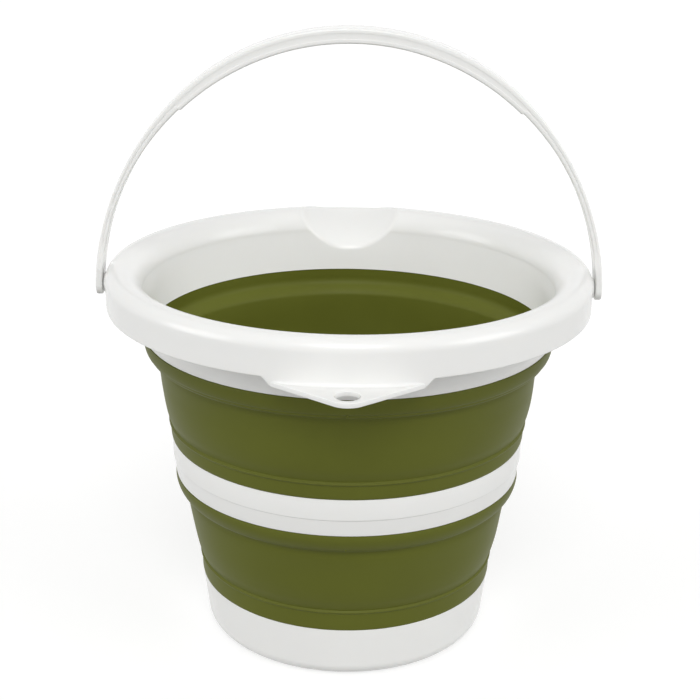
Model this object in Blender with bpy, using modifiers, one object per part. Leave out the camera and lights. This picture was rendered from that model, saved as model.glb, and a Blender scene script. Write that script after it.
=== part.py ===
"""Collapsible camp bucket.

Three rigid white rings are joined by two soft folds: a base cup, a middle ring and
a rim collar, with a fold between each pair. Each fold turns inside out to let the
ring above it drop over the ring below. An arched handle swings on two pivots at the
sides of the rim. The front of the rim has a lug to hang the bucket by, and its back
has a pouring scoop.

Metres, +Z up. The origin is the centre of the foot, on the ground. The hanging lug
is at -Y, the pouring scoop at +Y and the handle's pivots are on the X axis.
"""
import math

import bmesh
import bpy
from mathutils import Matrix, Vector

# Counts
TURN_STEPS = 48
ROUND_STEPS = 20
LIP_ROLL_STEPS = 4
BELL_MOUTH_STEPS = 5
CORNER_STEPS = 4
LUG_TIP_STEPS = 8
LUG_ROOT_STEPS = 6
SCOOP_STEPS = 14
SCOOP_SECTIONS = 5
LEG_STEPS = 12
CROWN_STEPS = 12

# Clearances
FIT_GAP = 0.0003
PIVOT_GAP = 0.0003
PEG_HEAD_GAP = 0.0008
CUT_OVERRUN = 0.003

# Base cup
FOOT_R = 0.0865
BASE_CORNER_R = 0.0095
BASE_FLARE = 0.0127
BASE_H = 0.0366
BASE_FLOOR = 0.0028
BASE_FLOOR_FILLET = 0.007
RING_WALL = 0.0030

# Middle ring
MIDDLE_H = 0.0255
MIDDLE_FLARE = 0.0019
MIDDLE_STEP = 0.0010
MIDDLE_STEP_UP = 0.0110

# Tongues of the rigid rings, moulded into the folds' bands
TONGUE_WALL = 0.0012
TONGUE_L = 0.0050

# Folds
FOLD_WALL = 0.0017
BAND_OVERLAP = 0.0003
HEAD_BAND_ROUND = 0.0010
FOOT_BAND_ROUND = 0.0004
BAND_FOOT_TAPER = 0.0034
INNER_CREASE_RISE = 0.0032
LOWER_SPREAD = 0.0167
LOWER_FOOT_BAND_H = 0.0141
LOWER_PANEL_H = 0.0478
LOWER_HEAD_BAND_H = 0.0132
LOWER_FOOT_BAND_PROUD = 0.0007
LOWER_HEAD_BAND_INSET = 0.0020
LOWER_PANEL_FOOT_PROUD = 0.0001
LOWER_PANEL_HEAD_INSET = 0.0064
UPPER_SPREAD = 0.0134
UPPER_FOOT_BAND_H = 0.0112
UPPER_PANEL_H = 0.0463
UPPER_HEAD_BAND_H = 0.0136
UPPER_FOOT_BAND_PROUD = 0.0011
UPPER_HEAD_BAND_INSET = 0.0009
UPPER_PANEL_FOOT_PROUD = 0.0002
UPPER_PANEL_HEAD_INSET = 0.0079
# Points of the bulging panel, as shares of its height and of its spread
PANEL_SHARES = ((0.08, 0.19), (0.24, 0.45), (0.56, 0.70))
# Height above the crease where a head band starts to draw in, as a share of the band's
DRAW_IN_SHARE = 0.64

# Rim collar
COLLAR_H = 0.0447
COLLAR_FLARE = 0.0034
MOUTH_R = 0.0154
ROLL_R = 0.0080
LIP_DRAFT = 0.0002
LIP_H = 0.0247
RIM_WALL = 0.0026

# Hanging lug at the front of the rim
LUG_TOP_DROP = 0.0270
LUG_THICK = 0.0030
LUG_REACH = 0.0254
LUG_ROOT_HALF = 0.0433
LUG_SHOULDER_HALF = 0.0488
LUG_TIP_R = 0.0125
LUG_HOLE_R = 0.0072
LUG_HOLE_MARGIN = 0.0040
LUG_EDGE_DROP = 0.0004

# Pouring scoop at the back of the rim, a trough that rises and flattens to its lip
SCOOP_HALF_WIDTH = 0.0368
SCOOP_LIP_HALF_WIDTH = 0.0290
SCOOP_DEPTH = 0.0260
SCOOP_LIP_DROP = 0.0024
SCOOP_EDGE_DROP = 0.0008
SCOOP_LIP_REACH = 0.0030
SCOOP_WALL = 0.0026
# The section's depth falls off with this power of the distance from its middle
SCOOP_POWER = 2.2

# Handle and its pivots
PIVOT_DROP = 0.0160
BOSS_R = 0.0068
BOSS_H = 0.0021
BOSS_BORE_R = 0.0037
PEG_R = 0.0034
PEG_HEAD_R = 0.0044
PEG_HEAD_L = 0.0022
SIDE_BEND_R = 0.1760
STRAP_SIDE_DEPTH = 0.0044
STRAP_TOP_DEPTH = 0.0084
STRAP_SIDE_WIDTH = 0.0156
STRAP_TOP_WIDTH = 0.0196
STRAP_CORNER = 0.0007
GRIP_STEP = 0.0011
GRIP_STEP_RUN = 0.0012
FLANGE = 0.0016
WEB = 0.0060
# Angles of the strap's outward side above level, at the pivots and where the grip starts
LEG_LEAN_DEG = 2.7
GRIP_START_DEG = 45.7
# Where the strap starts and stops to deepen and to widen, from its pivot to its top
DEEPEN_SHARES = (0.14, 0.78)
WIDEN_SHARES = (0.25, 0.60)
GROOVE_START_SHARE = 0.10

# Radii, each ring outside the last so that they nest when the bucket is collapsed
BASE_TOP_R = FOOT_R + BASE_FLARE
MIDDLE_BOTTOM_R = BASE_TOP_R + LOWER_SPREAD
MIDDLE_TOP_R = MIDDLE_BOTTOM_R + MIDDLE_FLARE
COLLAR_BORE_R = MIDDLE_TOP_R + UPPER_SPREAD
COLLAR_R = COLLAR_BORE_R + RING_WALL
COLLAR_NECK_R = COLLAR_BORE_R + COLLAR_FLARE
CREST_R = COLLAR_NECK_R + MOUTH_R
LIP_R = CREST_R + ROLL_R

# Levels
BASE_TOP_Z = BASE_H
MIDDLE_BOTTOM_Z = BASE_TOP_Z + LOWER_FOOT_BAND_H + LOWER_PANEL_H + LOWER_HEAD_BAND_H
MIDDLE_TOP_Z = MIDDLE_BOTTOM_Z + MIDDLE_H
COLLAR_BOTTOM_Z = MIDDLE_TOP_Z + UPPER_FOOT_BAND_H + UPPER_PANEL_H + UPPER_HEAD_BAND_H
CREST_Z = COLLAR_BOTTOM_Z + COLLAR_H
LIP_BOTTOM_Z = CREST_Z - LIP_H
PIVOT_Z = CREST_Z - PIVOT_DROP
LUG_TOP_Z = CREST_Z - LUG_TOP_DROP
LUG_BOTTOM_Z = LUG_TOP_Z - LUG_THICK - LUG_EDGE_DROP

# Colours
WHITE_PLASTIC = (0.86, 0.86, 0.85, 1.0)
GREEN_RUBBER = (0.115, 0.125, 0.022, 1.0)


def clear_scene():
    for item in list(bpy.data.objects):
        bpy.data.objects.remove(item, do_unlink=True)


def collection(name):
    group = bpy.data.collections.new(name)
    bpy.context.scene.collection.children.link(group)
    return group


def plastic(name, colour, roughness):
    material = bpy.data.materials.new(name)
    material.use_nodes = True
    shader = material.node_tree.nodes["Principled BSDF"]
    shader.inputs["Base Color"].default_value = colour
    shader.inputs["Roughness"].default_value = roughness
    shader.inputs["Metallic"].default_value = 0.0
    return material


def new_object(name, mesh, group, material=None):
    item = bpy.data.objects.new(name, mesh)
    group.objects.link(item)
    if material is not None:
        mesh.materials.append(material)
    return item


def turned(name, profile, group, material=None, closed=True):
    """Turn a profile of (radius, height) points about Z, down its outer side first."""
    mesh = bpy.data.meshes.new(name)
    count = len(profile)
    edges = [(i, i + 1) for i in range(count - 1)]
    if closed:
        edges.append((count - 1, 0))
    mesh.from_pydata([(radius, 0, height) for radius, height in profile], edges, [])
    item = new_object(name, mesh, group, material)
    screw = item.modifiers.new("Turn", "SCREW")
    screw.axis = "Z"
    screw.steps = TURN_STEPS
    screw.render_steps = TURN_STEPS
    screw.use_merge_vertices = True
    screw.merge_threshold = 0.00001
    screw.use_smooth_shade = True
    return item


def plate(name, outline, thickness, place, group):
    """A flat outline with a thickness, as a mesh placed by a matrix."""
    curve = bpy.data.curves.new(name, "CURVE")
    curve.dimensions = "2D"
    curve.fill_mode = "BOTH"
    curve.extrude = thickness / 2
    spline = curve.splines.new("POLY")
    spline.points.add(len(outline) - 1)
    for point, (across, along) in zip(spline.points, outline):
        point.co = (across, along, 0, 1)
    spline.use_cyclic_u = True
    flat = bpy.data.objects.new(name, curve)
    group.objects.link(flat)
    bpy.context.view_layer.update()
    shape = flat.evaluated_get(bpy.context.evaluated_depsgraph_get())
    mesh = bpy.data.meshes.new_from_object(shape)
    bpy.data.objects.remove(flat, do_unlink=True)
    welded = bmesh.new()
    welded.from_mesh(mesh)
    bmesh.ops.remove_doubles(welded, verts=welded.verts, dist=0.000001)
    bmesh.ops.recalc_face_normals(welded, faces=welded.faces)
    bmesh.ops.transform(welded, matrix=place, verts=welded.verts)
    welded.to_mesh(mesh)
    welded.free()
    mesh.name = name
    return new_object(name, mesh, group)


def rod(name, foot, head, foot_r, head_r, group):
    """A round rod or cone between two points, its corners clear of the turned rings' edges."""
    axis = Vector(head) - Vector(foot)
    turn = axis.to_track_quat("Z", "Y").to_matrix().to_4x4()
    turn = turn @ Matrix.Rotation(math.pi / ROUND_STEPS, 4, "Z")
    solid = bmesh.new()
    bmesh.ops.create_cone(solid, cap_ends=True, segments=ROUND_STEPS, radius1=foot_r,
                          radius2=head_r, depth=axis.length)
    middle = (Vector(foot) + Vector(head)) / 2
    bmesh.ops.transform(solid, matrix=Matrix.Translation(middle) @ turn, verts=solid.verts)
    mesh = bpy.data.meshes.new(name)
    solid.to_mesh(mesh)
    solid.free()
    return new_object(name, mesh, group)


def loft(name, sections, group, material=None):
    """A solid through a row of sections, which are rings of as many points each."""
    solid = bmesh.new()
    rings = [[solid.verts.new(point) for point in section] for section in sections]
    for ring, after in zip(rings, rings[1:]):
        for i in range(len(ring)):
            solid.faces.new((ring[i - 1], ring[i], after[i], after[i - 1]))
    solid.faces.new(rings[0])
    solid.faces.new(rings[-1])
    bmesh.ops.recalc_face_normals(solid, faces=solid.faces)
    mesh = bpy.data.meshes.new(name)
    solid.to_mesh(mesh)
    solid.free()
    return new_object(name, mesh, group, material)


def boolean(item, other, operation):
    other.hide_render = True
    other.display_type = "WIRE"
    modifier = item.modifiers.new(operation.title() + " " + other.name, "BOOLEAN")
    modifier.operation = operation
    modifier.solver = "EXACT"
    modifier.object = other


def finish(item):
    """Smooth shading with crisp edges."""
    item.data.shade_smooth()
    item.data.set_sharp_from_angle(angle=math.radians(35))


def arc(centre, radius, start_deg, end_deg, steps):
    """Points on an arc, both ends included."""
    points = []
    for i in range(steps + 1):
        angle = math.radians(start_deg + (end_deg - start_deg) * i / steps)
        points.append((centre[0] + radius * math.cos(angle), centre[1] + radius * math.sin(angle)))
    return points


def hanging_tongue(outer_r, bottom_z):
    """Tongue under a ring's lower edge, from its outer side to its inner side."""
    middle_r = outer_r - RING_WALL / 2
    half = TONGUE_WALL / 2
    return [(middle_r + half, bottom_z), (middle_r + half, bottom_z - TONGUE_L),
            (middle_r - half, bottom_z - TONGUE_L), (middle_r - half, bottom_z)]


def standing_tongue(outer_r, top_z):
    """Tongue on a ring's upper edge, from its inner side to its outer side."""
    middle_r = outer_r - RING_WALL / 2
    half = TONGUE_WALL / 2
    return [(middle_r - half, top_z), (middle_r - half, top_z + TONGUE_L),
            (middle_r + half, top_z + TONGUE_L), (middle_r + half, top_z)]


def base_profile():
    slope = (BASE_TOP_R - FOOT_R - BASE_CORNER_R) / (BASE_H - BASE_CORNER_R)
    fillet_z = BASE_FLOOR + BASE_FLOOR_FILLET
    floor_r = FOOT_R + BASE_CORNER_R - RING_WALL + slope * (fillet_z - BASE_CORNER_R)
    fillet_centre = (floor_r - BASE_FLOOR_FILLET, fillet_z)
    points = [(0, BASE_FLOOR)]
    points += arc(fillet_centre, BASE_FLOOR_FILLET, -90, 0, CORNER_STEPS)
    points.append((BASE_TOP_R - RING_WALL, BASE_H))
    points += standing_tongue(BASE_TOP_R, BASE_H)
    points.append((BASE_TOP_R, BASE_H))
    points += arc((FOOT_R, BASE_CORNER_R), BASE_CORNER_R, 0, -90, CORNER_STEPS)
    points.append((0, 0))
    return points


def middle_profile():
    step_z = MIDDLE_BOTTOM_Z + MIDDLE_STEP_UP
    step_r = MIDDLE_BOTTOM_R + (MIDDLE_FLARE - MIDDLE_STEP) * MIDDLE_STEP_UP / MIDDLE_H
    points = standing_tongue(MIDDLE_TOP_R, MIDDLE_TOP_Z)
    points += [(MIDDLE_TOP_R, MIDDLE_TOP_Z), (step_r + MIDDLE_STEP, step_z + MIDDLE_STEP / 2),
               (step_r, step_z), (MIDDLE_BOTTOM_R, MIDDLE_BOTTOM_Z)]
    points += hanging_tongue(MIDDLE_BOTTOM_R, MIDDLE_BOTTOM_Z)
    points += [(MIDDLE_BOTTOM_R - RING_WALL, MIDDLE_BOTTOM_Z),
               (MIDDLE_TOP_R - RING_WALL, MIDDLE_TOP_Z)]
    return points


def fold_profile(foot_ring_r, foot_z, foot_band_h, foot_band_proud, panel_foot_proud, panel_h,
                 head_ring_r, head_band_h, head_band_inset, panel_head_inset):
    """Outer side from the top down, then the inner side back up.

    Each band has a groove that the neighbouring ring's tongue fills.
    """
    ledge_z = foot_z + foot_band_h
    crease_z = ledge_z + panel_h
    head_z = crease_z + head_band_h
    foot_band_r = foot_ring_r + foot_band_proud
    head_band_r = head_ring_r - head_band_inset
    panel_foot_r = foot_ring_r + panel_foot_proud
    panel_head_r = head_ring_r - panel_head_inset
    groove_half = TONGUE_WALL / 2 + FIT_GAP
    groove_depth = TONGUE_L + FIT_GAP
    head_middle_r = head_ring_r - RING_WALL / 2
    foot_middle_r = foot_ring_r - RING_WALL / 2
    head_face_z = head_z - FIT_GAP
    foot_face_z = foot_z + FIT_GAP
    groove_top_z = head_z - groove_depth
    groove_foot_z = foot_z + groove_depth
    panel = [(panel_foot_r + (panel_head_r - panel_foot_r) * radius_share,
              ledge_z + panel_h * height_share) for height_share, radius_share in PANEL_SHARES]

    outer = [(head_ring_r + BAND_OVERLAP, head_face_z),
             (head_ring_r + BAND_OVERLAP, crease_z + head_band_h * DRAW_IN_SHARE),
             (head_band_r, crease_z + HEAD_BAND_ROUND),
             (head_band_r - HEAD_BAND_ROUND, crease_z),
             (panel_head_r, crease_z)]
    outer += reversed(panel)
    outer += [(panel_foot_r, ledge_z), (foot_band_r - FOOT_BAND_ROUND, ledge_z),
              (foot_band_r, ledge_z - FOOT_BAND_ROUND),
              (foot_band_r - BAND_OVERLAP, foot_z + BAND_FOOT_TAPER),
              (foot_ring_r + BAND_OVERLAP, foot_face_z)]
    foot_groove = [(foot_middle_r + groove_half, foot_face_z),
                   (foot_middle_r + groove_half, groove_foot_z),
                   (foot_middle_r - groove_half, groove_foot_z),
                   (foot_middle_r - groove_half, foot_face_z)]
    inner_foot_r = foot_ring_r - RING_WALL - BAND_OVERLAP
    inner_head_r = head_ring_r - RING_WALL - BAND_OVERLAP
    inner = [(inner_foot_r, foot_face_z),
             (inner_foot_r, ledge_z - FOLD_WALL),
             (panel_foot_r - FOLD_WALL, ledge_z)]
    inner += [(radius - FOLD_WALL, height) for radius, height in panel]
    inner += [(panel_head_r - FOLD_WALL, crease_z),
              (inner_head_r, crease_z + INNER_CREASE_RISE),
              (inner_head_r, head_face_z)]
    head_groove = [(head_middle_r - groove_half, head_face_z),
                   (head_middle_r - groove_half, groove_top_z),
                   (head_middle_r + groove_half, groove_top_z),
                   (head_middle_r + groove_half, head_face_z)]
    return outer + foot_groove + inner + head_groove


def mouth_arc(offset, start_deg, end_deg, steps):
    """The bell mouth from the neck to the crest, or an arc at an offset into its wall."""
    return arc((CREST_R, CREST_Z - MOUTH_R), MOUTH_R - offset, start_deg, end_deg, steps)


def collar_profile():
    """The collar, its neck and its rolled lip, as deep all round as at the lug."""
    roll_centre = (CREST_R, CREST_Z - ROLL_R)
    points = arc(roll_centre, ROLL_R, 90, 0, LIP_ROLL_STEPS)
    points += [(LIP_R - LIP_DRAFT, LUG_BOTTOM_Z), (LIP_R - LIP_DRAFT - RIM_WALL, LUG_BOTTOM_Z)]
    points += arc(roll_centre, ROLL_R - RIM_WALL, 0, 90, LIP_ROLL_STEPS - 1)
    points += mouth_arc(RIM_WALL, 90, 180, BELL_MOUTH_STEPS - 1)[1:]
    points.append((COLLAR_R, COLLAR_BOTTOM_Z))
    points += hanging_tongue(COLLAR_R, COLLAR_BOTTOM_Z)
    points.append((COLLAR_BORE_R, COLLAR_BOTTOM_Z))
    points += mouth_arc(0, 180, 90, BELL_MOUTH_STEPS)[:-1]
    return points


def make_lug(group):
    """The lug's plate, which grows from the lip's lower edge."""
    root_r = LIP_R - RIM_WALL / 2
    root_deg = math.degrees(math.acos(LUG_ROOT_HALF / root_r))
    corner_y = math.sqrt(LIP_R ** 2 - LUG_ROOT_HALF ** 2)
    tip_centre_y = LIP_R + LUG_REACH - LUG_TIP_R
    run = Vector((LUG_ROOT_HALF, tip_centre_y - corner_y))
    # The straight sides touch the round tip
    tip_deg = math.degrees(math.atan2(run.x, run.y) - math.asin(LUG_TIP_R / run.length))
    outline = [(LUG_ROOT_HALF, corner_y)]
    outline += arc((0, tip_centre_y), LUG_TIP_R, tip_deg, 180 - tip_deg, LUG_TIP_STEPS)
    outline.append((-LUG_ROOT_HALF, corner_y))
    outline += arc((0, 0), root_r, 180 - root_deg, root_deg, LUG_ROOT_STEPS)
    to_front = Matrix.Translation((0, 0, LUG_TOP_Z - LUG_THICK / 2)) @ Matrix.Rotation(math.pi, 4, "X")
    return plate("Lug plate", outline, LUG_THICK, to_front, group)


def make_lip_trim(group):
    """Cuts the lip back to its height, all round but for slanted shoulders beside the lug."""
    outer_r = LIP_R + CUT_OVERRUN
    inner_r = LIP_R - RIM_WALL - CUT_OVERRUN
    bottom_z = LUG_BOTTOM_Z - CUT_OVERRUN
    trim = turned("Lip trim", [(outer_r, LIP_BOTTOM_Z), (outer_r, bottom_z),
                               (inner_r, bottom_z), (inner_r, LIP_BOTTOM_Z)], group)
    flare = (LUG_SHOULDER_HALF - LUG_ROOT_HALF) / (LIP_BOTTOM_Z - LUG_BOTTOM_Z)
    top_half = LUG_SHOULDER_HALF + flare * CUT_OVERRUN
    foot_half = LUG_ROOT_HALF - flare * CUT_OVERRUN * 2
    trapezium = [(-foot_half, bottom_z - CUT_OVERRUN), (foot_half, bottom_z - CUT_OVERRUN),
                 (top_half, LIP_BOTTOM_Z + CUT_OVERRUN), (-top_half, LIP_BOTTOM_Z + CUT_OVERRUN)]
    upright = Matrix.Translation((0, -LIP_R, 0)) @ Matrix.Rotation(math.radians(90), 4, "X")
    keep = plate("Lug shoulders", trapezium, LUG_SHOULDER_HALF, upright, group)
    boolean(trim, keep, "DIFFERENCE")
    return trim


def scoop_section(reach, wall):
    """A rounded V across the scoop at a distance behind the neck, closed above the crest."""
    run = LIP_R + SCOOP_LIP_REACH - COLLAR_NECK_R
    travel = reach / run
    half_width = SCOOP_HALF_WIDTH + (SCOOP_LIP_HALF_WIDTH - SCOOP_HALF_WIDTH) * travel + wall
    edge_z = CREST_Z - SCOOP_EDGE_DROP
    depth = SCOOP_DEPTH - SCOOP_EDGE_DROP + (SCOOP_LIP_DROP - SCOOP_DEPTH) * travel
    # The floor slopes, so a wall square to it is taller than it is thick
    slope = (SCOOP_DEPTH - SCOOP_LIP_DROP) / run
    depth += wall * math.sqrt(1 + slope ** 2)
    back_y = COLLAR_NECK_R + reach
    top_z = CREST_Z + SCOOP_DEPTH
    points = [(half_width, back_y, top_z)]
    for i in range(SCOOP_STEPS + 1):
        share = math.cos(math.pi * i / SCOOP_STEPS)
        sunk = depth * (1 - abs(share) ** SCOOP_POWER)
        points.append((half_width * share, back_y, edge_z - sunk))
    points.append((-half_width, back_y, top_z))
    return points


def make_scoop(group):
    """The scoop's outer body, kept out of the bucket's inside, and its hollow."""
    lip_r = LIP_R + SCOOP_LIP_REACH
    inner_y = math.sqrt(COLLAR_BORE_R ** 2 - SCOOP_HALF_WIDTH ** 2) - CUT_OVERRUN
    start = inner_y - COLLAR_NECK_R
    stop = lip_r - COLLAR_NECK_R
    reaches = [start + (stop - start) * i / SCOOP_SECTIONS for i in range(SCOOP_SECTIONS + 1)]
    past = reaches[1:] + [stop + CUT_OVERRUN]
    hollow = loft("Scoop hollow", [scoop_section(reach, 0) for reach in reaches[:1] + past], group)
    body = loft("Scoop body", [scoop_section(reach, SCOOP_WALL) for reach in reaches], group)
    embed = RIM_WALL / 2
    bounds = [(lip_r, CREST_Z - SCOOP_LIP_DROP), (lip_r, COLLAR_BOTTOM_Z),
              (COLLAR_BORE_R + embed, COLLAR_BOTTOM_Z)]
    bounds += mouth_arc(embed, 180, 105, BELL_MOUTH_STEPS)
    boolean(body, turned("Scoop bounds", bounds, group), "INTERSECT")
    return body, hollow


def make_rim(group, cutters, material):
    rim = turned("rim_collar", collar_profile(), group, material)
    scoop, hollow = make_scoop(cutters)
    boolean(rim, make_lip_trim(cutters), "DIFFERENCE")
    boolean(rim, make_lug(cutters), "UNION")
    boolean(rim, scoop, "UNION")
    boolean(rim, hollow, "DIFFERENCE")
    boss_x = LIP_R + BOSS_H
    wall_x = LIP_R - RIM_WALL / 2
    for side, sign in (("right", 1), ("left", -1)):
        boss = rod("Boss " + side, (sign * wall_x, 0, PIVOT_Z), (sign * boss_x, 0, PIVOT_Z),
                   BOSS_R, BOSS_R, cutters)
        boolean(rim, boss, "UNION")
        bore = rod("Pivot bore " + side, (sign * (LIP_R - RIM_WALL - CUT_OVERRUN), 0, PIVOT_Z),
                   (sign * (boss_x + CUT_OVERRUN), 0, PIVOT_Z), BOSS_BORE_R, BOSS_BORE_R, cutters)
        boolean(rim, bore, "DIFFERENCE")
    hole_y = -(LIP_R + LUG_REACH - LUG_HOLE_MARGIN - LUG_HOLE_R)
    hole = rod("Hanging hole", (0, hole_y, LUG_TOP_Z + CUT_OVERRUN),
               (0, hole_y, LUG_BOTTOM_Z - CUT_OVERRUN), LUG_HOLE_R, LUG_HOLE_R, cutters)
    boolean(rim, hole, "DIFFERENCE")
    return rim


def eased(share, between):
    """A smooth rise from 0 to 1 as a share passes between two others."""
    part = min(max((share - between[0]) / (between[1] - between[0]), 0), 1)
    return part * part * (3 - 2 * part)


class Strap:
    """The handle's strap, from one pivot (share 0) over its top (1) to the other pivot (2).

    The legs bend with one radius and the crown with another, and they meet smoothly
    where the grip starts.
    """

    def __init__(self, middle_x):
        self.middle_x = middle_x
        self.lean = math.radians(LEG_LEAN_DEG)
        self.meet = math.radians(GRIP_START_DEG)
        self.crown_r = self.side_point(self.meet)[0] / math.cos(self.meet)
        self.side_l = SIDE_BEND_R * (self.meet - self.lean)
        self.length = self.side_l + self.crown_r * (math.pi / 2 - self.meet)
        self.grip_share = self.side_l / self.length
        self.step_share = GRIP_STEP_RUN / self.length

    def side_point(self, angle):
        across = self.middle_x - SIDE_BEND_R * (math.cos(self.lean) - math.cos(angle))
        return across, SIDE_BEND_R * (math.sin(angle) - math.sin(self.lean))

    def station(self, share):
        """Across, up and the outward side's angle above level."""
        if share > 1:
            across, up, angle = self.station(2 - share)
            return -across, up, math.pi - angle
        if share <= self.grip_share:
            angle = self.lean + share * self.length / SIDE_BEND_R
            return *self.side_point(angle), angle
        angle = self.meet + (share - self.grip_share) * self.length / self.crown_r
        meet_up = self.side_point(self.meet)[1]
        up = meet_up + self.crown_r * (math.sin(angle) - math.sin(self.meet))
        return self.crown_r * math.cos(angle), up, angle

    def limits(self, share):
        """Distances of the outer and inner sides from the middle line, and half the width."""
        share = min(share, 2 - share)
        deepened = eased(share, DEEPEN_SHARES)
        widened = eased(share, WIDEN_SHARES)
        stepped = min(max((share - self.grip_share) / self.step_share, 0), 1)
        depth = STRAP_SIDE_DEPTH + (STRAP_TOP_DEPTH - STRAP_SIDE_DEPTH) * deepened
        width = STRAP_SIDE_WIDTH + (STRAP_TOP_WIDTH - STRAP_SIDE_WIDTH) * widened
        return depth / 2, -depth / 2 - GRIP_STEP * stepped, width / 2

    def shares(self):
        first = self.grip_share + self.step_share
        half = [self.grip_share * i / LEG_STEPS for i in range(LEG_STEPS + 1)]
        half += [first + (1 - first) * i / CROWN_STEPS for i in range(CROWN_STEPS + 1)]
        return half + [2 - share for share in half[-2::-1]]

    def section(self, share, ring):
        """A ring of (outward, sideways) points, placed at a share of the strap."""
        across, up, angle = self.station(share)
        return [(across + out * math.cos(angle), side, up + out * math.sin(angle))
                for out, side in ring]

    def body_sections(self):
        sections = []
        for share in self.shares():
            outer, inner, half = self.limits(share)
            edge = half - STRAP_CORNER
            ring = ((outer, edge), (outer - STRAP_CORNER, half), (inner + STRAP_CORNER, half),
                    (inner, edge), (inner, -edge), (inner + STRAP_CORNER, -half),
                    (outer - STRAP_CORNER, -half), (outer, -edge))
            sections.append(self.section(share, ring))
        return sections

    def groove_sections(self, sign):
        """The hollow on one side of the web, with its sections between those of the body."""
        sections = []
        shares = self.shares()
        for before, after in zip(shares, shares[1:]):
            share = (before + after) / 2
            if not GROOVE_START_SHARE < share < 2 - GROOVE_START_SHARE:
                continue
            outer, inner, half = self.limits(share)
            near = sign * WEB / 2
            far = sign * (half + CUT_OVERRUN)
            ring = ((outer - FLANGE, near), (outer - FLANGE, far), (inner + FLANGE, far),
                    (inner + FLANGE, near))
            sections.append(self.section(share, ring))
        return sections


def leg_inset(up):
    """How far the leaning leg has come in at a height above its pivot."""
    lean = math.radians(LEG_LEAN_DEG)
    return SIDE_BEND_R * (math.cos(lean) - math.cos(math.asin(math.sin(lean) + up / SIDE_BEND_R)))


def make_handle(group, cutters, material):
    # The leg leans in over the boss, so its foot stands off by as much
    side_x = LIP_R + BOSS_H + PIVOT_GAP + leg_inset(BOSS_R)
    outer_x = side_x + STRAP_SIDE_DEPTH
    middle_x = side_x + STRAP_SIDE_DEPTH / 2
    strap = Strap(middle_x)
    handle = loft("handle", strap.body_sections(), group, material)
    handle.location = (0, 0, PIVOT_Z)
    neck_x = LIP_R - LIP_DRAFT - RIM_WALL - PEG_HEAD_GAP
    tip_x = neck_x - PEG_HEAD_L
    paddle_r = STRAP_SIDE_WIDTH / 2
    pieces = []
    for side, sign in (("right", 1), ("left", -1)):
        pieces.append(rod("Paddle " + side, (sign * side_x, 0, 0), (sign * outer_x, 0, 0),
                          paddle_r, paddle_r, cutters))
        pieces.append(rod("Peg " + side, (sign * middle_x, 0, 0),
                          (sign * (neck_x + tip_x) / 2, 0, 0), PEG_R, PEG_R, cutters))
        pieces.append(rod("Peg head " + side, (sign * neck_x, 0, 0), (sign * tip_x, 0, 0),
                          PEG_HEAD_R, PEG_R, cutters))
    for piece in pieces:
        piece.location = handle.location
        boolean(handle, piece, "UNION")
    for side, sign in (("front", -1), ("back", 1)):
        groove = loft("Groove " + side, strap.groove_sections(sign), cutters)
        groove.location = handle.location
        boolean(handle, groove, "DIFFERENCE")
    return handle


def build():
    clear_scene()
    group = collection("collapsible_camp_bucket")
    cutters = collection("cutters")
    white = plastic("white polypropylene", WHITE_PLASTIC, 0.38)
    green = plastic("green soft rubber", GREEN_RUBBER, 0.55)

    base = turned("base_cup", base_profile(), group, white, closed=False)
    lower = turned("lower_fold", fold_profile(
        BASE_TOP_R, BASE_TOP_Z, LOWER_FOOT_BAND_H, LOWER_FOOT_BAND_PROUD, LOWER_PANEL_FOOT_PROUD,
        LOWER_PANEL_H, MIDDLE_BOTTOM_R, LOWER_HEAD_BAND_H, LOWER_HEAD_BAND_INSET,
        LOWER_PANEL_HEAD_INSET), group, green)
    middle = turned("middle_ring", middle_profile(), group, white)
    upper = turned("upper_fold", fold_profile(
        MIDDLE_TOP_R, MIDDLE_TOP_Z, UPPER_FOOT_BAND_H, UPPER_FOOT_BAND_PROUD, UPPER_PANEL_FOOT_PROUD,
        UPPER_PANEL_H, COLLAR_R, UPPER_HEAD_BAND_H, UPPER_HEAD_BAND_INSET,
        UPPER_PANEL_HEAD_INSET), group, green)
    rim = make_rim(group, cutters, white)
    handle = make_handle(group, cutters, white)
    for item in (base, lower, middle, upper, rim, handle):
        finish(item)


build()
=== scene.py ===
"""Collapsible camp bucket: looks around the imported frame.

Metres, +Z up, the frame of the CAD. The hanging lug is at -Y, the pouring scoop at +Y
and the handle's pivots are on the X axis.
"""
import math

import bmesh
import bpy
import numpy as np
from mathutils import Matrix, Vector


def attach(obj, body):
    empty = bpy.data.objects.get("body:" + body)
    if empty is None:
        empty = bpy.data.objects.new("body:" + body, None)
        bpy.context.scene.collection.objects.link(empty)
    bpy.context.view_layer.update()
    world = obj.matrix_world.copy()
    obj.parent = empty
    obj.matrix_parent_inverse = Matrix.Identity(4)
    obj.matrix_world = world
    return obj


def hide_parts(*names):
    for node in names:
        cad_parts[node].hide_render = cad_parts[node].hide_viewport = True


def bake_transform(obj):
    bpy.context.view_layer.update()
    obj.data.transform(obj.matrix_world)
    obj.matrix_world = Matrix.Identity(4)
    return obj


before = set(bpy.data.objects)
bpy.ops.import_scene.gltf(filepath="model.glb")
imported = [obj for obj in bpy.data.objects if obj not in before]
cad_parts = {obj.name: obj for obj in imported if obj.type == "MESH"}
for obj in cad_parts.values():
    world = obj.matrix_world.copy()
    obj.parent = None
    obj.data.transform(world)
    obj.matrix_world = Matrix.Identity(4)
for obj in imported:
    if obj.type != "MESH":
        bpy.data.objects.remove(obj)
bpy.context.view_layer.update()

# Levels and radii of the rigid rings, in metres
BASE_TOP = 0.0366
BASE_TOP_R = 0.0992
FOOT_R = 0.0865
BASE_CORNER = 0.0095
MIDDLE_FOOT = 0.1117
MIDDLE_FOOT_R = 0.1159
MIDDLE_TOP = 0.1372
MIDDLE_TOP_R = 0.1178
COLLAR_FOOT = 0.2083
COLLAR_INNER_FOOT = 0.2096
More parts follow.
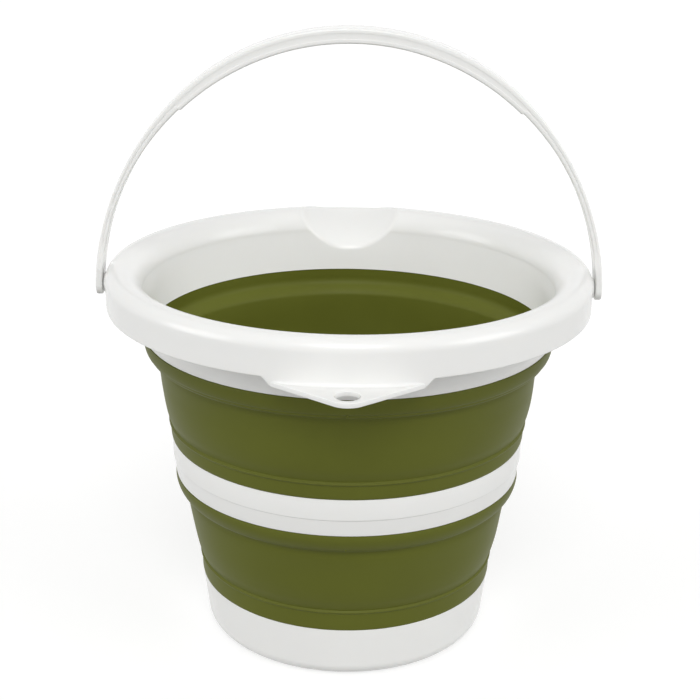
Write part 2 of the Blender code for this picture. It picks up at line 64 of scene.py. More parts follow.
COLLAR_BORE_R = 0.1312
COLLAR_R = 0.1342
NECK_R = 0.1346
CREST = 0.2530
CREST_R = 0.1500
MOUTH_R = 0.0154
ROLL_R = 0.0080
LIP_R = 0.1580
LIP_DRAFT = 0.0002
LIP_FOOT = 0.2283
RING_WALL = 0.0030
RIM_WALL = 0.0026
JOINT_LINE = 0.0001
EDGE_ROUND = 0.0004
FINE_ROUND = 0.0003
TURN_COLUMNS = 288


def linear(hex_colour):
    """An sRGB hex colour as linear RGBA."""
    channels = [int(hex_colour[i:i + 2], 16) / 255 for i in (1, 3, 5)]
    return tuple(c / 12.92 if c <= 0.04045 else ((c + 0.055) / 1.055) ** 2.4 for c in channels) + (1.0,)


def add(tree, kind, values=None, links=None, **settings):
    """One node with its settings, its input values and its incoming links."""
    node = tree.nodes.new(kind)
    for name, value in settings.items():
        setattr(node, name, value)
    for socket, value in (values or {}).items():
        node.inputs[socket].default_value = value
    for socket, source in (links or {}).items():
        tree.links.new(source, node.inputs[socket])
    return node


GLOSS_SPREAD = 0.05
GLOW_COLOURS = (1.0, 0.9, 0.8)
GLOW_DEPTH = 0.0012


def moulded(name, light, dark, roughness, ior, gleam, subsurface, grain_mm, grain_depth_mm, cloud_mm):
    """A moulded plastic: two close tones in soft clouds, uneven gloss and a fine skin texture."""
    material = bpy.data.materials.new(name)
    material.use_nodes = True
    tree = material.node_tree
    shader = tree.nodes["Principled BSDF"]
    shader.inputs["IOR"].default_value = ior
    shader.inputs["Specular IOR Level"].default_value = gleam
    shader.inputs["Metallic"].default_value = 0.0
    shader.inputs["Subsurface Weight"].default_value = subsurface
    shader.inputs["Subsurface Radius"].default_value = GLOW_COLOURS
    shader.inputs["Subsurface Scale"].default_value = GLOW_DEPTH
    place = add(tree, "ShaderNodeTexCoord").outputs["Object"]
    cloud = add(tree, "ShaderNodeTexNoise", {"Scale": 1000 / cloud_mm, "Detail": 3.0, "Roughness": 0.5},
                {"Vector": place})
    tone = add(tree, "ShaderNodeMix", {"A": linear(dark), "B": linear(light)},
               {"Factor": cloud.outputs["Fac"]}, data_type="RGBA")
    tree.links.new(tone.outputs["Result"], shader.inputs["Base Color"])
    skin = add(tree, "ShaderNodeTexNoise", {"Scale": 1000 / grain_mm, "Detail": 2.0, "Roughness": 0.6},
               {"Vector": place})
    gloss = add(tree, "ShaderNodeMapRange",
                {"To Min": roughness - GLOSS_SPREAD, "To Max": roughness + GLOSS_SPREAD},
                {"Value": cloud.outputs["Fac"]})
    tree.links.new(gloss.outputs["Result"], shader.inputs["Roughness"])
    bump = add(tree, "ShaderNodeBump", {"Strength": 1.0, "Distance": grain_depth_mm / 1000},
               {"Height": skin.outputs["Fac"]})
    tree.links.new(bump.outputs["Normal"], shader.inputs["Normal"])
    return material


def placed(name, data):
    """A new object in the scene."""
    item = bpy.data.objects.new(name, data)
    bpy.context.scene.collection.objects.link(item)
    return item


# Polypropylene, injection moulded in a polished tool: a soft white with a satin gloss, and a faint
# glow where light goes a little way into it. Its skin is drawn coarser than the real one, to show.
white_pp = moulded("moulded white polypropylene", "#F1F1EF", "#EDEDEB", roughness=0.22, ior=1.49,
                   gleam=0.5, subsurface=0.12, grain_mm=1.2, grain_depth_mm=0.005, cloud_mm=60)
# Thermoplastic elastomer, moulded over the rings in a lightly blasted tool: a matt, opaque olive skin
# with weak highlights, of two close tones. Its grain is drawn coarser than the real one, to show.
green_tpe = moulded("overmoulded olive thermoplastic elastomer", "#5D6220", "#565A1B", roughness=0.50,
                    ior=1.50, gleam=0.18, subsurface=0.0, grain_mm=0.9, grain_depth_mm=0.012,
                    cloud_mm=45)


SHARP_ANGLE = math.radians(40)


def new_piece(name, mesh, material):
    """A piece of one material, smooth but for its sharp edges."""
    mesh.materials.clear()
    mesh.materials.append(material)
    mesh.shade_smooth()
    mesh.set_sharp_from_angle(angle=SHARP_ANGLE)
    piece = placed(name, mesh)
    return piece


STRAIGHT = math.radians(89)
CUT_SHARE = 0.47


def rounded(corners, closed=True, steps=4):
    """Points along a profile whose corners (r, z, fillet) are rounded.

    A fillet takes at most CUT_SHARE of each side that it joins.
    """
    points = []
    last = len(corners) - 1
    for i, (r, z, fillet) in enumerate(corners):
        here = Vector((r, z))
        if fillet == 0 or (not closed and i in (0, last)):
            points.append(here)
            continue
        back = Vector(corners[i - 1][:2]) - here
        ahead = Vector(corners[(i + 1) % len(corners)][:2]) - here
        half = back.angle(ahead) / 2
        if half > STRAIGHT:
            points.append(here)
            continue
        cut = min(fillet / math.tan(half), back.length * CUT_SHARE, ahead.length * CUT_SHARE)
        back.normalize()
        ahead.normalize()
        centre = here + (back + ahead).normalized() * (cut / math.cos(half))
        start = here + back * cut - centre
        end = here + ahead * cut - centre
        turn = math.pi - 2 * half
        for k in range(steps + 1):
            t = k / steps
            along = start * math.sin((1 - t) * turn) + end * math.sin(t * turn)
            points.append(centre + along / math.sin(turn))
    return points


def flowing(points, steps=5):
    """A smooth curve through points (Catmull-Rom), both ends included."""
    rows = [Vector(p) for p in points]
    rows = [rows[0] * 2 - rows[1]] + rows + [rows[-1] * 2 - rows[-2]]
    curve = []
    for a, b, c, d in zip(rows, rows[1:], rows[2:], rows[3:]):
        for k in range(steps):
            t = k / steps
            curve.append((b * 2 + (c - a) * t + (a * 2 - b * 5 + c * 4 - d) * t * t
                          + (b * 3 - a - c * 3 + d) * t ** 3) / 2)
    curve.append(rows[-2])
    return curve


def welded(mesh, reach):
    """A mesh whose points within reach are joined and whose faces all look outward."""
    solid = bmesh.new()
    solid.from_mesh(mesh)
    bmesh.ops.remove_doubles(solid, verts=solid.verts, dist=reach)
    bmesh.ops.recalc_face_normals(solid, faces=solid.faces)
    solid.to_mesh(mesh)
    solid.free()
    return mesh


def skin_of(rings, closed=True, wrap=True, name="skin"):
    """A mesh through rings of as many points each.

    closed joins the ends of each ring, and wrap joins the last ring to the first.
    """
    rows = len(rings)
    count = len(rings[0])
    faces = []
    for j in range(rows if wrap else rows - 1):
        nxt = (j + 1) % rows
        for i in range(count if closed else count - 1):
            k = (i + 1) % count
            faces.append((j * count + i, j * count + k, nxt * count + k, nxt * count + i))
    if not wrap:
        faces.append(tuple(range(count)))
        faces.append(tuple(range((rows - 1) * count, rows * count)))
    mesh = bpy.data.meshes.new(name)
    mesh.from_pydata([tuple(p) for ring in rings for p in ring], [], faces)
    return welded(mesh, 1e-7)


def turned(profile, columns=TURN_COLUMNS, closed=True, name="turned"):
    """A profile of (radius, height) points turned about Z. An open one starts and ends on the axis."""
    rings = []
    for j in range(columns):
        angle = 2 * math.pi * j / columns
        rings.append([(r * math.cos(angle), r * math.sin(angle), z) for r, z in profile])
    return skin_of(rings, closed=closed, name=name)


def together(name, meshes):
    """One mesh from several closed ones."""
    whole = bmesh.new()
    for mesh in meshes:
        whole.from_mesh(mesh)
    made = bpy.data.meshes.new(name)
    whole.to_mesh(made)
    whole.free()
    for mesh in meshes:
        bpy.data.meshes.remove(mesh)
    return made


def quarter(centre_r, centre_z, radius, steps=14):
    """A quarter circle from its outermost point down to its lowest one, as corners for rounded()."""
    turns = [-math.pi / 2 * k / steps for k in range(steps + 1)]
    return [(centre_r + radius * math.cos(t), centre_z + radius * math.sin(t), 0) for t in turns]


# Base cup
FLOOR = 0.0028
FLOOR_R = 0.0923
FLOOR_FILLET = 0.0070
base_profile = rounded([(0, FLOOR, 0), (FLOOR_R, FLOOR, FLOOR_FILLET),
                        (BASE_TOP_R - RING_WALL, BASE_TOP - JOINT_LINE, EDGE_ROUND),
                        (BASE_TOP_R, BASE_TOP - JOINT_LINE, EDGE_ROUND)]
                       + quarter(FOOT_R, BASE_CORNER, BASE_CORNER) + [(0, 0, 0)],
                       closed=False, steps=6)
base_cup = new_piece("base_cup_moulding", turned(base_profile, closed=False), white_pp)
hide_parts("base_cup")
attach(base_cup, "base")

# Middle ring, with the fine step of its parting line
STEP_TOP = 0.1232
STEP_TOP_R = 0.1176
STEP_FOOT = 0.1226
STEP_FOOT_R = 0.1168
middle_profile = rounded([(MIDDLE_TOP_R - RING_WALL, MIDDLE_TOP - JOINT_LINE, EDGE_ROUND),
                          (MIDDLE_TOP_R, MIDDLE_TOP - JOINT_LINE, EDGE_ROUND),
                          (STEP_TOP_R, STEP_TOP, FINE_ROUND),
                          (STEP_FOOT_R, STEP_FOOT, FINE_ROUND),
                          (MIDDLE_FOOT_R, MIDDLE_FOOT + JOINT_LINE, EDGE_ROUND),
                          (MIDDLE_FOOT_R - RING_WALL, MIDDLE_FOOT + JOINT_LINE, EDGE_ROUND)])
middle_ring = new_piece("middle_ring_moulding", turned(middle_profile), white_pp)
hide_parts("middle_ring")
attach(middle_ring, "middle")

# Folds. Each profile runs down the outer side from the ring above to the ring below, over a head
# band with a fine ridge, a bulging panel and a foot band whose upper edge is a small bead, and
# then back up the inner side. Points are (radius, height) in millimetres. Below its ledge and
# above its crease a fold keeps its drawn shape, and between them its walls wave a little.
UPPER_LEDGE = 0.1484
UPPER_CREASE = 0.1947
LOWER_LEDGE = 0.0507
LOWER_CREASE = 0.0985

upper_outside = [(134.6, 208.2), (134.8, 206.6), (134.7, 203.8), (134.2, 201.2), (133.5, 199.3),
                 (132.95, 198.5), (132.3, 198.0), (132.0, 197.5), (131.8, 196.7), (131.2, 195.9),
                 (130.4, 195.3), (129.4, 194.9), (128.0, 194.6), (126.7, 194.0), (125.6, 193.0),
                 (125.1, 191.4), (125.2, 188.8), (124.9, 184.8), (124.4, 180.0), (124.0, 174.6),
                 (123.5, 169.6), (122.9, 164.6), (122.1, 159.8), (121.2, 155.8), (120.1, 152.6),
                 (119.2, 150.2), (118.95, 149.4), (119.35, 148.9), (119.85, 148.35), (119.95, 147.8),
                 (119.5, 147.2), (118.95, 146.6), (118.8, 144.0), (118.65, 140.4), (118.4, 138.4),
                 (117.95, 137.3)]
upper_inside = [(114.8, 137.3), (114.75, 142.0), (115.0, 146.0), (116.0, 149.2), (117.5, 151.6),
                (118.8, 154.6), (119.8, 158.2), (120.8, 163.2), (121.5, 168.4), (122.1, 174.6),
                (122.6, 180.6), (123.0, 185.6), (123.4, 189.6), (123.9, 192.6), (125.6, 195.0),
                (127.4, 196.8), (129.2, 198.4), (130.4, 200.2), (130.9, 202.4), (131.0, 205.6),
                (131.15, 209.4)]
lower_outside = [(115.95, 111.6), (116.15, 110.4), (116.2, 108.4), (115.9, 106.4), (115.3, 104.4),
                 (114.5, 102.6), (113.7, 101.3), (112.9, 100.3), (112.3, 99.8), (111.8, 99.3),
                 (111.0, 98.8), (109.8, 98.2), (108.8, 97.2), (108.4, 95.4), (108.4, 92.6),
                 (107.9, 88.4), (107.1, 83.4), (106.3, 78.2), (105.5, 73.0), (104.6, 67.6),
                 (103.6, 62.8), (102.5, 58.4), (101.4, 55.2), (100.3, 52.2), (99.95, 51.4),
                 (100.3, 50.9), (100.8, 50.35), (100.9, 49.8), (100.45, 49.2), (99.98, 48.6),
                 (99.85, 46.0), (99.7, 41.0), (99.6, 38.4), (99.3, 36.7)]
lower_inside = [(96.2, 36.7), (96.1, 42.0), (96.2, 47.0), (96.9, 50.6), (98.3, 53.2), (99.7, 56.0),
                (101.0, 60.0), (102.0, 64.4), (102.9, 69.0), (103.8, 74.4), (104.7, 80.0),
                (105.5, 85.2), (106.2, 90.0), (106.9, 94.0), (107.7, 97.0), (108.9, 99.4),
                (110.4, 101.2), (111.8, 102.8), (112.6, 104.8), (112.8, 108.0), (112.9, 111.6)]

# How far the soft walls wave, and the sizes of the two nibs
SLACK = 0.0002
NIB_HALF_WIDTH = 0.0008
NIB_HALF_HEIGHT = 0.0011
NIB_RISE = 0.0028
UPPER_NIB_R = 0.1326
LOWER_NIB_R = 0.1133


def gate_nib(r, z):
    """The small upright nib that the mould's gate leaves at the front of a head band."""
    arc = [math.pi * k / 10 - math.pi / 2 for k in range(11)]
    profile = [(NIB_HALF_WIDTH * max(math.cos(a), 0), NIB_HALF_HEIGHT * math.sin(a)) for a in arc]
    nib = turned(profile, columns=16, closed=False, name="nib")
    nib.transform(Matrix.Translation((0, -r, z)))
    return nib


def fold_moulding(name, outside, inside, bottom, top, nib_r):
    """A fold between the ring below it and the ring above it.

    Its walls hang a little unevenly, as soft rubber does between rigid rings.
    """
    curve = []
    for side in (outside, inside):
        curve += flowing([(r / 1000, z / 1000) for r, z in side], steps=4)
    mesh = turned(curve)
    for vertex in mesh.vertices:
        share = min(max((vertex.co.z - bottom) / (top - bottom), 0), 1)
        turn = math.atan2(vertex.co.y, vertex.co.x)
        wave = math.sin(3 * turn + 5 * share) + 0.7 * math.sin(7 * turn + 1.3 - 4 * share)
        middle = 4 * share * (1 - share)
        swell = 1 + SLACK * middle * wave / math.hypot(vertex.co.x, vertex.co.y)
        vertex.co.x *= swell
        vertex.co.y *= swell
    mesh = together(name, [mesh, gate_nib(nib_r, top + NIB_RISE)])
    piece = new_piece(name + "_moulding", mesh, green_tpe)
    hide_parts(name)
    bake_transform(piece)


fold_moulding("upper_fold", upper_outside, upper_inside, UPPER_LEDGE, UPPER_CREASE, UPPER_NIB_R)
fold_moulding("lower_fold", lower_outside, lower_inside, LOWER_LEDGE, LOWER_CREASE, LOWER_NIB_R)

# Rim collar. Its rolled section is drawn by rays from a point under the roll, and the scoop is
# worked into it as a smooth hollow, so that the two flow into each other.
RAY_R = 0.1500
RAY_Z = 0.2320
SCOOP_HALF_WIDTH = 0.0368
SCOOP_LIP_HALF_WIDTH = 0.0290
SCOOP_DEPTH = 0.0252
SCOOP_POWER = 2.2
SCOOP_LIP_DEPTH = 0.0016
SCOOP_LEAST_DEPTH = 0.0004
SCOOP_EDGE = CREST - 0.0008
SCOOP_LIP_R = LIP_R + 0.0030
SCOOP_START_Y = 0.1180
SCOOP_EDGE_ROUND = 0.0016
SLOPE_PROBE = 0.00005
LEAST_SLOPE = 4.0
SPOUT_MARGIN = 0.0030
SPOUT_FALL = 0.0024
SPOUT_UNDER = 0.2480
SPOUT_UNDER_SLOPE = 1.6
LIP_ROUND = 0.0010
LIP_EDGE_ROUND = 0.0008
LIP_TUCK = 0.00005
RAY_LIMIT = 0.045
RAY_HALVINGS = 34
TOP_RAYS = 118
UNDER_RAYS = 60
FAR = 1.0


def smooth_least(a, b, reach):
    """The lesser of two distances, with a soft meeting."""
    mix = np.clip(0.5 + 0.5 * (b - a) / reach, 0, 1)
    return b * (1 - mix) + a * mix - reach * mix * (1 - mix)


def smooth_most(a, b, reach):
    """The greater of two distances, with a soft meeting."""
    return -smooth_least(-a, -b, reach)


def rim_depth(r, z):
    """Distance outside the plain rolled rim, which is less than 0 in it."""
    wall = Vector((NECK_R - COLLAR_BORE_R, CREST - MOUTH_R - COLLAR_FOOT)).normalized()
    inner_wall = -(r - COLLAR_BORE_R) * wall.y + (z - COLLAR_FOOT) * wall.x
    mouth = np.hypot(r - CREST_R, z - CREST + MOUTH_R) - MOUTH_R
    roll = np.hypot(r - CREST_R, z - CREST + ROLL_R) - ROLL_R
    draft = LIP_DRAFT * (CREST - ROLL_R - z) / (CREST - ROLL_R - LIP_FOOT)
    inside = np.where(z > CREST - MOUTH_R, mouth, inner_wall)
    outside = np.where(z > CREST - ROLL_R, roll, r - LIP_R + draft)
    return np.where(r < CREST_R, inside, outside)


def scoop_travel(y):
    """How far a point is along the scoop, 0 at the neck and 1 at its lip, and the half width there."""
    travel = (y - NECK_R) / (SCOOP_LIP_R - NECK_R)
    return travel, SCOOP_HALF_WIDTH + (SCOOP_LIP_HALF_WIDTH - SCOOP_HALF_WIDTH) * travel


def scoop_share(x, y, z):
    """How far a point is out from the scoop's middle line, where 1 is the scoop's surface."""
    travel, half_width = scoop_travel(y)
    depth = np.maximum(SCOOP_DEPTH + (SCOOP_LIP_DEPTH - SCOOP_DEPTH) * travel, SCOOP_LEAST_DEPTH)
    return np.abs(x / half_width) ** SCOOP_POWER + np.maximum(SCOOP_EDGE - z, 0) / depth


def scoop_depth(x, y, z):
    """Distance outside the scoop's hollow, about true near its surface."""
    here = scoop_share(x, y, z)
    slope = np.sqrt((scoop_share(x + SLOPE_PROBE, y, z) - here) ** 2
                    + (scoop_share(x, y + SLOPE_PROBE, z) - here) ** 2
                    + (scoop_share(x, y, z + SLOPE_PROBE) - here) ** 2) / SLOPE_PROBE
    return np.where(y > SCOOP_START_Y, (here - 1) / np.maximum(slope, LEAST_SLOPE), FAR)


def pouring_lip(x, y, z, r):
    """Distance outside the block that carries the scoop's straight lip."""
    half_width = scoop_travel(y)[1] + SPOUT_MARGIN
    top = CREST - SPOUT_FALL * (r - CREST_R) / (SCOOP_LIP_R - CREST_R)
    under = SPOUT_UNDER - SPOUT_UNDER_SLOPE * (SCOOP_LIP_R - r)
    block = np.maximum(np.maximum(np.abs(x) - half_width, r - SCOOP_LIP_R),
                       np.maximum(z - top, under - z))
    return np.where(y > SCOOP_START_Y, np.maximum(block, CREST_R - r), FAR)


def rim_shape(x, y, z):
    """Distance outside the whole rim: the roll and the pouring lip, less the scoop."""
    r = np.hypot(x, y)
    solid = smooth_least(rim_depth(r, z), pouring_lip(x, y, z, r), LIP_ROUND)
    return smooth_most(solid, -scoop_depth(x, y, z), SCOOP_EDGE_ROUND)


def ray_reach(across, along, out, up, level):
    """How far rays go in the rim's section until its shape reaches a level."""
    near = np.zeros(np.broadcast(across, out).shape)
    far = np.full_like(near, RAY_LIMIT)
    for _ in range(RAY_HALVINGS):
        middle = (near + far) / 2
        r = RAY_R + middle * out
        inside = rim_shape(r * across, r * along, RAY_Z + middle * up) < level
        near = np.where(inside, middle, near)
        far = np.where(inside, far, middle)
    return (near + far) / 2


LUG_ROOT_HALF = 0.0433
LUG_SHOULDER_HALF = 0.0488
LUG_DEEP = 0.2226
HOLLOW_STOP_DEG = 6
# Bearings of the rim's columns in degrees from the scoop's middle: start, end and step. They are
# close at the scoop and at the lug's two shoulders.
COLUMN_SPANS = [(-18, 18, 0.2), (18, 160, 2), (160, 166, 0.25), (166, 194, 2), (194, 200, 0.25),
                (200, 342, 2)]


def lip_foot(x, y):
    """The lip's lower edge, deeper between slanted shoulders at the lug."""
    share = np.clip((LUG_SHOULDER_HALF - np.abs(x)) / (LUG_SHOULDER_HALF - LUG_ROOT_HALF), 0, 1)
    return np.where(y < 0, LIP_FOOT + (LUG_DEEP - LIP_FOOT) * share, LIP_FOOT)


def rim_mesh():
    """The rim collar's skin: its outside, its lower edge, the hollow under its roll and its foot."""
    columns = np.concatenate([np.arange(a, b - 1e-9, step) for a, b, step in COLUMN_SPANS])
    bearing = np.radians(columns)[:, None]
    across, along = np.sin(bearing), np.cos(bearing)
    start_deg = math.degrees(math.atan2(COLLAR_INNER_FOOT - RAY_Z, COLLAR_BORE_R - RAY_R)) + 360
    top = np.radians(np.linspace(start_deg, 0, TOP_RAYS))[None, :]
    under = np.radians(np.linspace(0, start_deg - HOLLOW_STOP_DEG, UNDER_RAYS))[None, :]
    upper = ray_reach(across, along, np.cos(top), np.sin(top), 0.0)
    lower = ray_reach(across, along, np.cos(under), np.sin(under), -RIM_WALL)
    upper_r, upper_z = RAY_R + upper * np.cos(top), RAY_Z + upper * np.sin(top)
    lower_r, lower_z = RAY_R + lower * np.cos(under), RAY_Z + lower * np.sin(under)
    down = np.clip((CREST - MOUTH_R - lower_z) / (CREST - MOUTH_R - COLLAR_FOOT), 0, 1)
    lower_r = lower_r + np.where(under > math.pi, (RING_WALL - RIM_WALL) * down, 0)
    rings = []
    for j, turn in enumerate(bearing[:, 0]):
        sin, cos = math.sin(turn), math.cos(turn)
        foot = float(lip_foot(LIP_R * sin, LIP_R * cos))
        outer_r = float(upper_r[j, -1])
        inner_r = float(lower_r[j, 0])
        edge = rounded([(outer_r, RAY_Z, 0), (outer_r - LIP_TUCK, foot, LIP_EDGE_ROUND),
                        (inner_r, foot, LIP_EDGE_ROUND), (inner_r, RAY_Z, 0)],
                       closed=False, steps=5)[1:-1]
        wall = [(outer_r, RAY_Z - (RAY_Z - edge[0].y) * t) for t in (0.33, 0.66)]
        inner_wall = [(inner_r, RAY_Z - (RAY_Z - edge[-1].y) * t) for t in (0.66, 0.33)]
        section = list(zip(upper_r[j], upper_z[j])) + wall + edge + inner_wall
        section += list(zip(lower_r[j], lower_z[j]))
        section += rounded([(lower_r[j, -1], lower_z[j, -1], 0), (COLLAR_R, COLLAR_FOOT, FINE_ROUND),
                            (COLLAR_BORE_R, COLLAR_INNER_FOOT, FINE_ROUND),
                            (upper_r[j, 0], upper_z[j, 1], 0)], closed=False)[1:-1]
        rings.append([(r * sin, r * cos, z) for r, z in section])
    return skin_of(rings, name="rim")


LUG_TOP = 0.2260
LUG_THICK = 0.0030
LUG_TIP_R = 0.0125
LUG_TIP_Y = LIP_R + 0.0254 - LUG_TIP_R
LUG_HOLE_R = 0.0072
LUG_HOLE_Y = 0.1722
LUG_EDGE_ROUND = 0.0004


def lug_mesh():
    """The flat lug with its round hanging hole, every edge rounded."""
    corner_y = math.sqrt(LIP_R ** 2 - LUG_ROOT_HALF ** 2)
    run = Vector((LUG_ROOT_HALF, LUG_TIP_Y - corner_y))
    tip = math.atan2(run.x, run.y) - math.asin(LUG_TIP_R / run.length)
    outline = [(-LUG_ROOT_HALF, -corner_y)]
    for k in range(41):
        angle = math.pi - tip - (math.pi - 2 * tip) * k / 40
        outline.append((LUG_TIP_R * math.cos(angle), -LUG_TIP_Y - LUG_TIP_R * math.sin(angle)))
    outline.append((LUG_ROOT_HALF, -corner_y))
    root_r = LIP_R - RIM_WALL / 2
    half = math.asin(LUG_ROOT_HALF / root_r)
    for k in range(33):
        angle = half - 2 * half * k / 32
        outline.append((root_r * math.sin(angle), -root_r * math.cos(angle)))
    hole = [(LUG_HOLE_R * math.cos(a), -LUG_HOLE_Y + LUG_HOLE_R * math.sin(a))
            for a in (2 * math.pi * k / 64 for k in range(64))]
    curve = bpy.data.curves.new("lug", "CURVE")
    curve.dimensions = "2D"
    curve.fill_mode = "BOTH"
    curve.bevel_depth = LUG_EDGE_ROUND
    curve.bevel_resolution = 3
    curve.extrude = LUG_THICK / 2 - LUG_EDGE_ROUND
    curve.offset = -LUG_EDGE_ROUND
    for loop in (outline, hole):
        spline = curve.splines.new("POLY")
        spline.points.add(len(loop) - 1)
        for point, (x, y) in zip(spline.points, loop):
            point.co = (x, y, 0, 1)
        spline.use_cyclic_u = True
    holder = placed("lug", curve)
    bpy.context.view_layer.update()
    shown = holder.evaluated_get(bpy.context.evaluated_depsgraph_get())
    mesh = bpy.data.meshes.new_from_object(shown)
    bpy.data.objects.remove(holder)
    mesh.transform(Matrix.Translation((0, 0, LUG_TOP - LUG_THICK / 2)))
    return welded(mesh, 1e-6)


ROOT_FILLET = 0.0020
ROOT_LEAST_SHARE = 0.02
ROOT_SUNK = 0.0006
ROOT_IN_WALL = 0.0008
ROOT_END = 0.0004


def lug_root_mesh():
    """The hollow fillet between the lug's top and the lip, fading out towards the lug's corners."""
    rings = []
    half = math.asin((LUG_ROOT_HALF - ROOT_END) / LIP_R)
    for k in range(49):
        share = k / 24 - 1
        turn = half * share
        size = ROOT_FILLET * max(math.sqrt(max(1 - share ** 4, 0)), ROOT_LEAST_SHARE)
        section = [(-ROOT_IN_WALL, -ROOT_SUNK), (-ROOT_IN_WALL, size)]
        section += [(size * (1 - math.cos(a)), size * (1 - math.sin(a)))
                    for a in (math.pi / 2 * i / 6 for i in range(7))]
        section.append((size, -ROOT_SUNK))
        rings.append([((LIP_R + out) * math.sin(turn), -(LIP_R + out) * math.cos(turn), LUG_TOP + up)
                      for out, up in section])
    return skin_of(rings, wrap=False, name="lug_root")


PIVOT_Z = 0.2370
BOSS_R = 0.0068
BOSS_TOP = LIP_R + 0.0021
BOSS_ROUND = 0.0005
BOSS_BORE_R = 0.0037


def along_x(profile, side, closed=True, columns=64):
    """A profile of (radius, x) points turned about the pivots' axis, on one side."""
    mesh = turned(profile, columns=columns, closed=closed)
    turn = Matrix.Rotation(math.pi / 2, 4, "Y")
    if side < 0:
        turn = Matrix.Scale(-1, 4, (1, 0, 0)) @ turn
    mesh.transform(Matrix.Translation((0, 0, PIVOT_Z)) @ turn)
    if side < 0:
        mesh.flip_normals()
    return mesh


def boss_mesh(side):
    """The round boss with the bore that a peg of the handle turns in."""
    wall = LIP_R - RIM_WALL / 2
    return along_x(rounded([(BOSS_R, wall, 0), (BOSS_R, BOSS_TOP, BOSS_ROUND),
                            (BOSS_BORE_R, BOSS_TOP, FINE_ROUND), (BOSS_BORE_R, wall, 0)]), side)


rim_collar = new_piece("rim_collar_moulding",
                       together("rim_collar", [rim_mesh(), lug_mesh(), lug_root_mesh(),
                                               boss_mesh(1), boss_mesh(-1)]),
                       white_pp)
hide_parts("rim_collar")
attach(rim_collar, "rim")

# Handle: a strap with a shallow groove along its front and back, thin at its legs and deep at its
# grip. SIDE and LEG sizes are those of the legs, TOP and GRIP sizes those of the grip, and pairs are
# where a change starts and ends, as shares of the strap's half length.
STRAP_X = 0.16320
SIDE_BEND_R = 0.1760
LEAN = math.radians(2.7)
GRIP_START = math.radians(45.7)
SIDE_DEPTH, TOP_DEPTH = 0.0041, 0.0082
SIDE_WIDTH, TOP_WIDTH = 0.0156, 0.0196
DEEPEN = (0.14, 0.78)
WIDEN = (0.25, 0.60)
GROOVE_RISE = (0.085, 0.125)
GRIP_STEP = 0.0011
GRIP_STEP_RUN = 0.0012
FLANGE = 0.0028
FLANGE_SHARE = 0.42
STRAP_ROUND = 0.0012
LEG_GROOVE = 0.0004
GRIP_GROOVE = 0.00012
LEAST_GROOVE = 0.00004
GROOVE_EDGE_ROUND = 0.0003
GROOVE_FOOT_ROUND = 0.0005
PADDLE_ROUND = 0.0015
PADDLE_TIP = 0.0004
PEG_R = 0.0034
PEG_HEAD_R = 0.0044
PEG_HEAD = 0.0006
PEG_TAPER = 0.0016
PEG_PLAY = 0.0008
side_l = SIDE_BEND_R * (GRIP_START - LEAN)
meet_x = STRAP_X - SIDE_BEND_R * (math.cos(LEAN) - math.cos(GRIP_START))
meet_z = SIDE_BEND_R * (math.sin(GRIP_START) - math.sin(LEAN))
crown_r = meet_x / math.cos(GRIP_START)
half_l = side_l + crown_r * (math.pi / 2 - GRIP_START)


def eased(value, between):
    """0 before a pair of values, 1 after it, and a smooth rise between them."""
    share = min(max((value - between[0]) / (between[1] - between[0]), 0), 1)
    return share * share * (3 - 2 * share)


def strap_place(run):
    """The strap's middle line at a distance above the pivot: x, z and the outward side's angle."""
    if run <= 0:
        return STRAP_X, run, 0.0
    if run <= side_l:
        angle = LEAN + run / SIDE_BEND_R
        return (STRAP_X - SIDE_BEND_R * (math.cos(LEAN) - math.cos(angle)),
                SIDE_BEND_R * (math.sin(angle) - math.sin(LEAN)), angle)
    angle = GRIP_START + (run - side_l) / crown_r
    return (crown_r * math.cos(angle),
            meet_z + crown_r * (math.sin(angle) - math.sin(GRIP_START)), angle)


def strap_section(run):
    """The strap's rounded outline at a distance above the pivot, as placed points."""
    share = run / half_l
    width = SIDE_WIDTH + (TOP_WIDTH - SIDE_WIDTH) * eased(share, WIDEN)
    depth = SIDE_DEPTH + (TOP_DEPTH - SIDE_DEPTH) * eased(share, DEEPEN)
    half = width / 2
    inset = 0.0
    if run < 0:
        half = max(math.sqrt(max(half ** 2 - run ** 2, 0)), PADDLE_TIP)
        tip = min(max(PADDLE_ROUND - (run + width / 2), 0), PADDLE_ROUND)
        inset = PADDLE_ROUND - math.sqrt(PADDLE_ROUND ** 2 - tip ** 2)
    out = depth / 2 - inset
    back = -depth / 2 + inset - GRIP_STEP * eased(run, (side_l, side_l + GRIP_STEP_RUN))
    groove = LEG_GROOVE + (GRIP_GROOVE - LEG_GROOVE) * eased(share, DEEPEN)
    floor = half - max(groove * eased(share, GROOVE_RISE), LEAST_GROOVE)
    flange = min(FLANGE, (out - back) * FLANGE_SHARE)
    right = [(out, half, STRAP_ROUND), (out - flange, half, GROOVE_EDGE_ROUND),
             (out - flange, floor, GROOVE_FOOT_ROUND), (back + flange, floor, GROOVE_FOOT_ROUND),
             (back + flange, half, GROOVE_EDGE_ROUND), (back, half, STRAP_ROUND)]
    left = [(o, -s, f) for o, s, f in reversed(right)]
    x, z, angle = strap_place(run)
    return [(x + o * math.cos(angle), s, PIVOT_Z + z + o * math.sin(angle))
            for o, s in rounded(right + left)]


